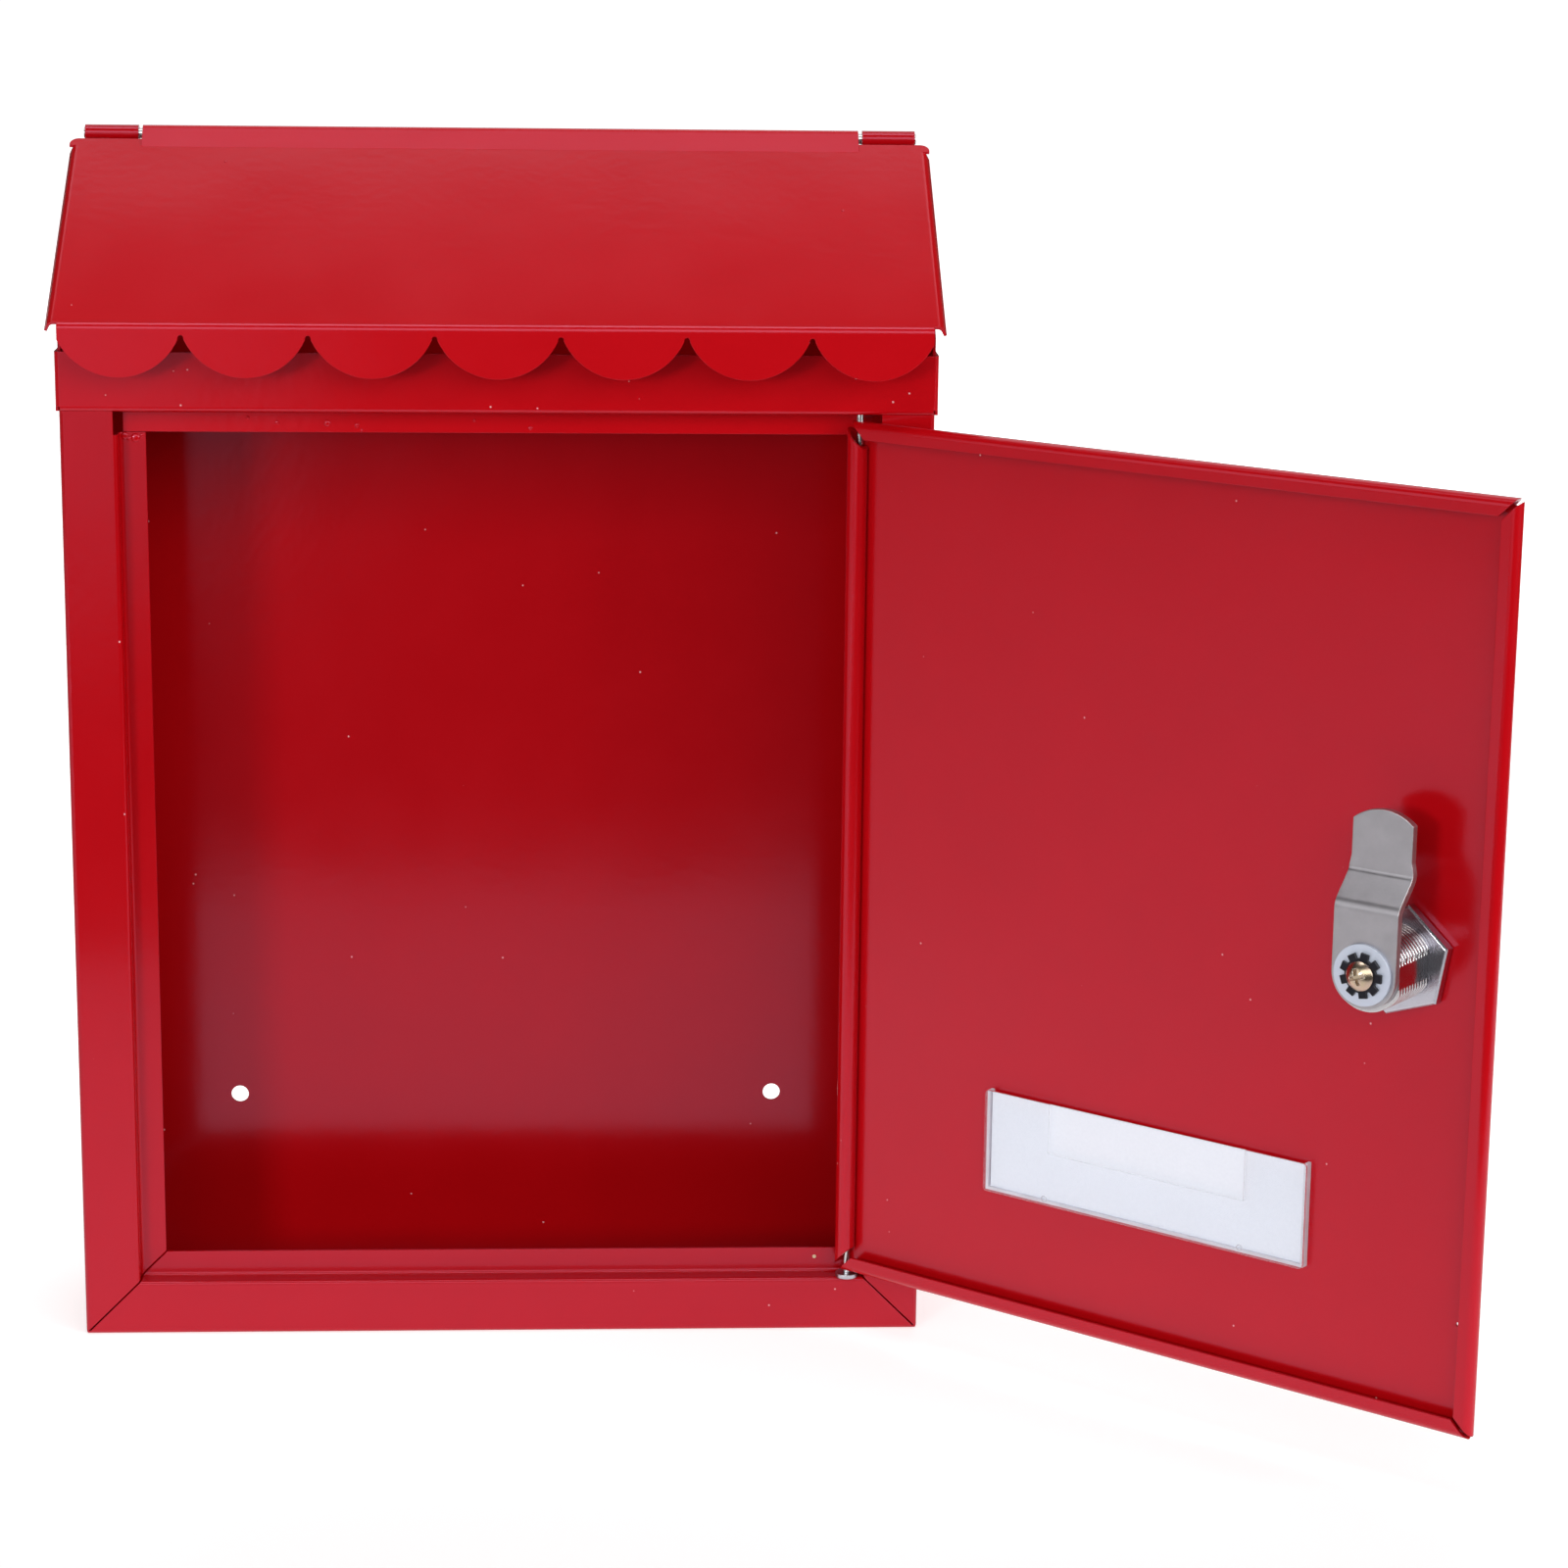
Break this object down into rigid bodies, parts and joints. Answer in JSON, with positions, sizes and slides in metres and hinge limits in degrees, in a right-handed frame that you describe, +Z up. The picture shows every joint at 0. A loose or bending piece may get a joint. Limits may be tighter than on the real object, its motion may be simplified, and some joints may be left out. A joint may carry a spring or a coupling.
{
  "type": "wall mailbox",
  "caption": "Wall mailbox in red sheet steel with a scalloped lift-up lid, a side-hinged front door with a cam lock, and a clear name holder.",
  "frame": {"origin": "centre of the wall hole rectangle, on the outer face of the back panel", "axes": "+X right as seen from the front, +Y back to the wall, +Z up"},
  "size_m": [0.3296, 0.1702, 0.2982],
  "materials": {
    "case_paint": "red gloss powder coat",
    "band_paint": "red gloss powder coat",
    "lid_paint": "red gloss powder coat",
    "door_paint": "red gloss powder coat",
    "lid_pin_steel": "bright drawn wire",
    "door_pin_steel": "bright drawn wire",
    "washer_zinc": "zinc plated",
    "lock_die_cast": "plated zinc casting",
    "plug_die_cast": "plated zinc casting",
    "wafer_brass": "stamped brass",
    "spring_steel": "spring wire",
    "nut_zinc": "zinc plated",
    "cam_zinc": "satin zinc plated",
    "flat_washer_zinc": "blue zinc plated",
    "star_washer_black": "black oxide",
    "screw_zinc": "yellow zinc plated",
    "holder_plastic": "clear moulded plastic",
    "card_paper": "plain white card"
  },
  "bodies": {
    "case": {"case_shell": "case_paint", "front_band": "band_paint", "lid_hinge_pin": "lid_pin_steel", "door_hinge_pin": "door_pin_steel", "hinge_washer": "washer_zinc"},
    "lid": {"lid": "lid_paint"},
    "door": {"door": "door_paint", "lock_body": "lock_die_cast", "lock_nut": "nut_zinc", "name_holder": "holder_plastic", "name_card": "card_paper"},
    "plug": {"lock_plug": "plug_die_cast", "lock_wafers": "wafer_brass", "wafer_springs": "spring_steel", "lock_cam": "cam_zinc", "cam_flat_washer": "flat_washer_zinc", "cam_star_washer": "star_washer_black", "cam_screw": "screw_zinc"}
  },
  "joints": [
    {"name": "lid_hinge", "type": "hinge", "parent": "case", "child": "lid", "pos_m": [0, -0.00204, 0.1477], "axis": [-1, 0, 0], "range_deg": [0, 110]},
    {"name": "door_hinge", "type": "hinge", "parent": "case", "child": "door", "pos_m": [0.087, -0.0534, -0.0245], "axis": [0, 0, 1], "range_deg": [-140, 0]},
    {"name": "lock_turn", "type": "hinge", "parent": "door", "child": "plug", "pos_m": [0.20516, -0.15046, -0.0234], "axis": [0.6428, 0.766, 0], "range_deg": [0, 90]}
  ]
}
